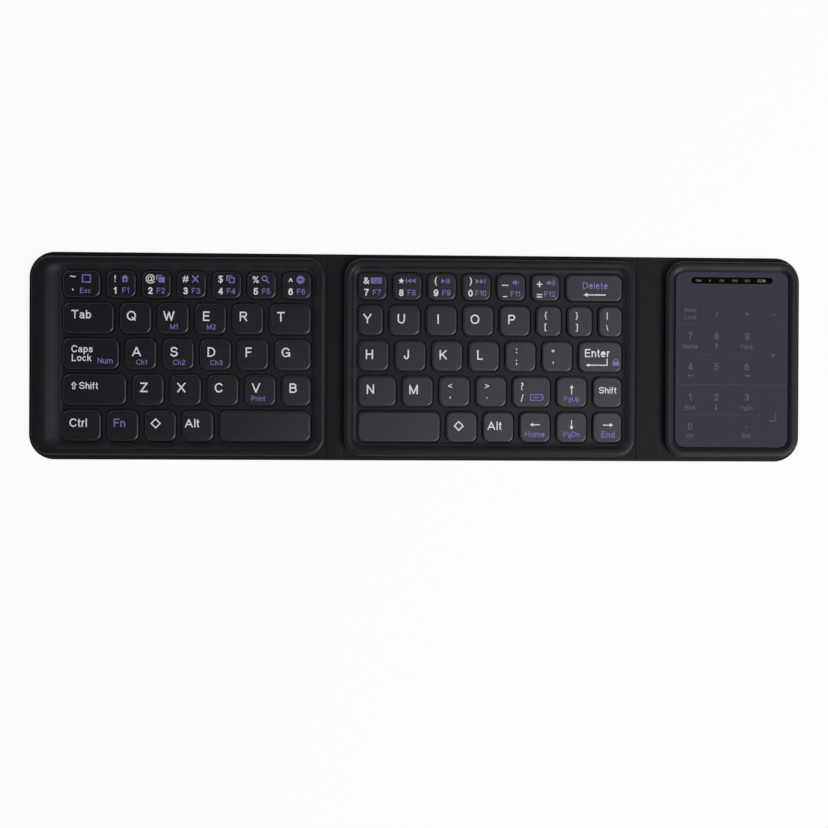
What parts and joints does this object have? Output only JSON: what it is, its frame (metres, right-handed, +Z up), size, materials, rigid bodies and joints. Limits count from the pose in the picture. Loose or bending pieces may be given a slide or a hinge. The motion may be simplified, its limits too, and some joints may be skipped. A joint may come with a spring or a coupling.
{
  "type": "folding keyboard",
  "caption": "Flat folding keyboard on a soft leather-like cover: two key trays and a touch number pad, joined by two flexible spines that fold the panels onto each other.",
  "frame": {"origin": "under the middle of the open keyboard, on the surface that it lies on", "axes": "+X along the key rows to the number pad, +Y to the rear (number row), +Z up out of the keys"},
  "size_m": [0.3542, 0.0944, 0.005],
  "materials": {
    "cover_leather": "fine grain, satin",
    "tray_plastic": "soft matte",
    "keycap_plastic": "soft matte, printed legends",
    "plate_steel": "plain",
    "membrane_film": "smoked film with printed tracks",
    "dome_rubber": "silicone",
    "scissor_plastic": "moulded",
    "magnet_metal": "nickel plated",
    "circuit_board": "solder mask",
    "socket_steel": "drawn shell",
    "ribbon_film": "film with tracks",
    "touch_glass": "smooth, dark coated back",
    "indicator_window": "tinted clear",
    "led_plastic": "diffused",
    "battery_foil": "laminated foil pouch"
  },
  "bodies": {
    "middle": {"cover_middle": "cover_leather", "lining_middle": "cover_leather", "frame_middle": "tray_plastic", "backplate_middle": "plate_steel", "membrane_middle": "membrane_film", "domes_middle": "dome_rubber", "scissors_middle": "scissor_plastic", "magnets_middle": "magnet_metal"},
    "left": {"cover_left": "cover_leather", "lining_left": "cover_leather", "frame_left": "tray_plastic", "backplate_left": "plate_steel", "membrane_left": "membrane_film", "domes_left": "dome_rubber", "scissors_left": "scissor_plastic", "magnets_left": "magnet_metal", "main_board": "circuit_board", "usb_socket": "socket_steel"},
    "spine_left": {"spine_left": "cover_leather", "ribbon_spine_left": "ribbon_film"},
    "spine_right": {"spine_right": "cover_leather", "ribbon_spine_right": "ribbon_film"},
    "right": {"cover_right": "cover_leather", "lining_right": "cover_leather", "frame_right": "tray_plastic", "backplate_right": "plate_steel", "touch_glass": "touch_glass", "indicator_window": "indicator_window", "touch_board": "circuit_board", "indicator_leds": "led_plastic", "battery": "battery_foil", "magnets_right": "magnet_metal", "ribbon_right": "ribbon_film"},
    "key_esc": {"key_esc": "keycap_plastic"},
    "keys_number_left": {"keys_number_left": "keycap_plastic"},
    "key_tab": {"key_tab": "keycap_plastic"},
    "keys_upper_left": {"keys_upper_left": "keycap_plastic"},
    "key_caps_lock": {"key_caps_lock": "keycap_plastic"},
    "keys_home_left": {"keys_home_left": "keycap_plastic"},
    "key_shift_left": {"key_shift_left": "keycap_plastic"},
    "keys_lower_left": {"keys_lower_left": "keycap_plastic"},
    "key_control": {"key_control": "keycap_plastic"},
    "key_function": {"key_function": "keycap_plastic"},
    "key_command_left": {"key_command_left": "keycap_plastic"},
    "key_alt_left": {"key_alt_left": "keycap_plastic"},
    "key_space_left": {"key_space_left": "keycap_plastic"},
    "keys_number_right": {"keys_number_right": "keycap_plastic"},
    "key_delete": {"key_delete": "keycap_plastic"},
    "keys_upper_right": {"keys_upper_right": "keycap_plastic"},
    "keys_home_right": {"keys_home_right": "keycap_plastic"},
    "key_enter": {"key_enter": "keycap_plastic"},
    "keys_lower_right": {"keys_lower_right": "keycap_plastic"},
    "key_up": {"key_up": "keycap_plastic"},
    "key_shift_right": {"key_shift_right": "keycap_plastic"},
    "key_space_right": {"key_space_right": "keycap_plastic"},
    "key_command_right": {"key_command_right": "keycap_plastic"},
    "key_alt_right": {"key_alt_right": "keycap_plastic"},
    "key_arrow_left": {"key_arrow_left": "keycap_plastic"},
    "key_arrow_down": {"key_arrow_down": "keycap_plastic"},
    "key_arrow_right": {"key_arrow_right": "keycap_plastic"}
  },
  "joints": [
    {"name": "fold_left", "type": "hinge", "parent": "middle", "child": "spine_left", "pos_m": [-0.03465, 0, 0.0012], "axis": [0, 1, 0], "range_deg": [0, 90]},
    {"name": "fold_left_panel", "type": "hinge", "parent": "spine_left", "child": "left", "pos_m": [-0.04245, 0, 0.0012], "axis": [0, 1, 0], "range_deg": [0, 90]},
    {"name": "fold_right", "type": "hinge", "parent": "middle", "child": "spine_right", "pos_m": [0.10055, 0, 0.0012], "axis": [0, -1, 0], "range_deg": [0, 90]},
    {"name": "fold_right_panel", "type": "hinge", "parent": "spine_right", "child": "right", "pos_m": [0.11355, 0, 0.0012], "axis": [0, -1, 0], "range_deg": [0, 90]},
    {"name": "press_esc", "type": "slide", "parent": "left", "child": "key_esc", "axis": [0, 0, -1], "range_m": [0, 0.001], "stiffness_N_per_m": 450, "springref_m": -0.0003, "deforming": ["domes_left", "scissors_left"]},
    {"name": "press_number_left", "type": "slide", "parent": "left", "child": "keys_number_left", "axis": [0, 0, -1], "range_m": [0, 0.001], "stiffness_N_per_m": 2700, "springref_m": -0.0003, "deforming": ["domes_left", "scissors_left"]},
    {"name": "press_tab", "type": "slide", "parent": "left", "child": "key_tab", "axis": [0, 0, -1], "range_m": [0, 0.001], "stiffness_N_per_m": 450, "springref_m": -0.0003, "deforming": ["domes_left", "scissors_left"]},
    {"name": "press_upper_left", "type": "slide", "parent": "left", "child": "keys_upper_left", "axis": [0, 0, -1], "range_m": [0, 0.001], "stiffness_N_per_m": 2250, "springref_m": -0.0003, "deforming": ["domes_left", "scissors_left"]},
    {"name": "press_caps_lock", "type": "slide", "parent": "left", "child": "key_caps_lock", "axis": [0, 0, -1], "range_m": [0, 0.001], "stiffness_N_per_m": 450, "springref_m": -0.0003, "deforming": ["domes_left", "scissors_left"]},
    {"name": "press_home_left", "type": "slide", "parent": "left", "child": "keys_home_left", "axis": [0, 0, -1], "range_m": [0, 0.001], "stiffness_N_per_m": 2250, "springref_m": -0.0003, "deforming": ["domes_left", "scissors_left"]},
    {"name": "press_shift_left", "type": "slide", "parent": "left", "child": "key_shift_left", "axis": [0, 0, -1], "range_m": [0, 0.001], "stiffness_N_per_m": 450, "springref_m": -0.0003, "deforming": ["domes_left", "scissors_left"]},
    {"name": "press_lower_left", "type": "slide", "parent": "left", "child": "keys_lower_left", "axis": [0, 0, -1], "range_m": [0, 0.001], "stiffness_N_per_m": 2250, "springref_m": -0.0003, "deforming": ["domes_left", "scissors_left"]},
    {"name": "press_control", "type": "slide", "parent": "left", "child": "key_control", "axis": [0, 0, -1], "range_m": [0, 0.001], "stiffness_N_per_m": 450, "springref_m": -0.0003, "deforming": ["domes_left", "scissors_left"]},
    {"name": "press_function", "type": "slide", "parent": "left", "child": "key_function", "axis": [0, 0, -1], "range_m": [0, 0.001], "stiffness_N_per_m": 450, "springref_m": -0.0003, "deforming": ["domes_left", "scissors_left"]},
    {"name": "press_command_left", "type": "slide", "parent": "left", "child": "key_command_left", "axis": [0, 0, -1], "range_m": [0, 0.001], "stiffness_N_per_m": 450, "springref_m": -0.0003, "deforming": ["domes_left", "scissors_left"]},
    {"name": "press_alt_left", "type": "slide", "parent": "left", "child": "key_alt_left", "axis": [0, 0, -1], "range_m": [0, 0.001], "stiffness_N_per_m": 450, "springref_m": -0.0003, "deforming": ["domes_left", "scissors_left"]},
    {"name": "press_space_left", "type": "slide", "parent": "left", "child": "key_space_left", "axis": [0, 0, -1], "range_m": [0, 0.001], "stiffness_N_per_m": 450, "springref_m": -0.0003, "deforming": ["domes_left", "scissors_left"]},
    {"name": "press_number_right", "type": "slide", "parent": "middle", "child": "keys_number_right", "axis": [0, 0, -1], "range_m": [0, 0.001], "stiffness_N_per_m": 2700, "springref_m": -0.0003, "deforming": ["domes_middle", "scissors_middle"]},
    {"name": "press_delete", "type": "slide", "parent": "middle", "child": "key_delete", "axis": [0, 0, -1], "range_m": [0, 0.001], "stiffness_N_per_m": 450, "springref_m": -0.0003, "deforming": ["domes_middle", "scissors_middle"]},
    {"name": "press_upper_right", "type": "slide", "parent": "middle", "child": "keys_upper_right", "axis": [0, 0, -1], "range_m": [0, 0.001], "stiffness_N_per_m": 3600, "springref_m": -0.0003, "deforming": ["domes_middle", "scissors_middle"]},
    {"name": "press_home_right", "type": "slide", "parent": "middle", "child": "keys_home_right", "axis": [0, 0, -1], "range_m": [0, 0.001], "stiffness_N_per_m": 2700, "springref_m": -0.0003, "deforming": ["domes_middle", "scissors_middle"]},
    {"name": "press_enter", "type": "slide", "parent": "middle", "child": "key_enter", "axis": [0, 0, -1], "range_m": [0, 0.001], "stiffness_N_per_m": 450, "springref_m": -0.0003, "deforming": ["domes_middle", "scissors_middle"]},
    {"name": "press_lower_right", "type": "slide", "parent": "middle", "child": "keys_lower_right", "axis": [0, 0, -1], "range_m": [0, 0.001], "stiffness_N_per_m": 2250, "springref_m": -0.0003, "deforming": ["domes_middle", "scissors_middle"]},
    {"name": "press_up", "type": "slide", "parent": "middle", "child": "key_up", "axis": [0, 0, -1], "range_m": [0, 0.001], "stiffness_N_per_m": 450, "springref_m": -0.0003, "deforming": ["domes_middle", "scissors_middle"]},
    {"name": "press_shift_right", "type": "slide", "parent": "middle", "child": "key_shift_right", "axis": [0, 0, -1], "range_m": [0, 0.001], "stiffness_N_per_m": 450, "springref_m": -0.0003, "deforming": ["domes_middle", "scissors_middle"]},
    {"name": "press_space_right", "type": "slide", "parent": "middle", "child": "key_space_right", "axis": [0, 0, -1], "range_m": [0, 0.001], "stiffness_N_per_m": 450, "springref_m": -0.0003, "deforming": ["domes_middle", "scissors_middle"]},
    {"name": "press_command_right", "type": "slide", "parent": "middle", "child": "key_command_right", "axis": [0, 0, -1], "range_m": [0, 0.001], "stiffness_N_per_m": 450, "springref_m": -0.0003, "deforming": ["domes_middle", "scissors_middle"]},
    {"name": "press_alt_right", "type": "slide", "parent": "middle", "child": "key_alt_right", "axis": [0, 0, -1], "range_m": [0, 0.001], "stiffness_N_per_m": 450, "springref_m": -0.0003, "deforming": ["domes_middle", "scissors_middle"]},
    {"name": "press_arrow_left", "type": "slide", "parent": "middle", "child": "key_arrow_left", "axis": [0, 0, -1], "range_m": [0, 0.001], "stiffness_N_per_m": 450, "springref_m": -0.0003, "deforming": ["domes_middle", "scissors_middle"]},
    {"name": "press_arrow_down", "type": "slide", "parent": "middle", "child": "key_arrow_down", "axis": [0, 0, -1], "range_m": [0, 0.001], "stiffness_N_per_m": 450, "springref_m": -0.0003, "deforming": ["domes_middle", "scissors_middle"]},
    {"name": "press_arrow_right", "type": "slide", "parent": "middle", "child": "key_arrow_right", "axis": [0, 0, -1], "range_m": [0, 0.001], "stiffness_N_per_m": 450, "springref_m": -0.0003, "deforming": ["domes_middle", "scissors_middle"]}
  ],
  "couplings": [
    {"joint": "fold_left_panel", "follows": "fold_left", "ratio": 1},
    {"joint": "fold_right_panel", "follows": "fold_right", "ratio": 1}
  ]
}
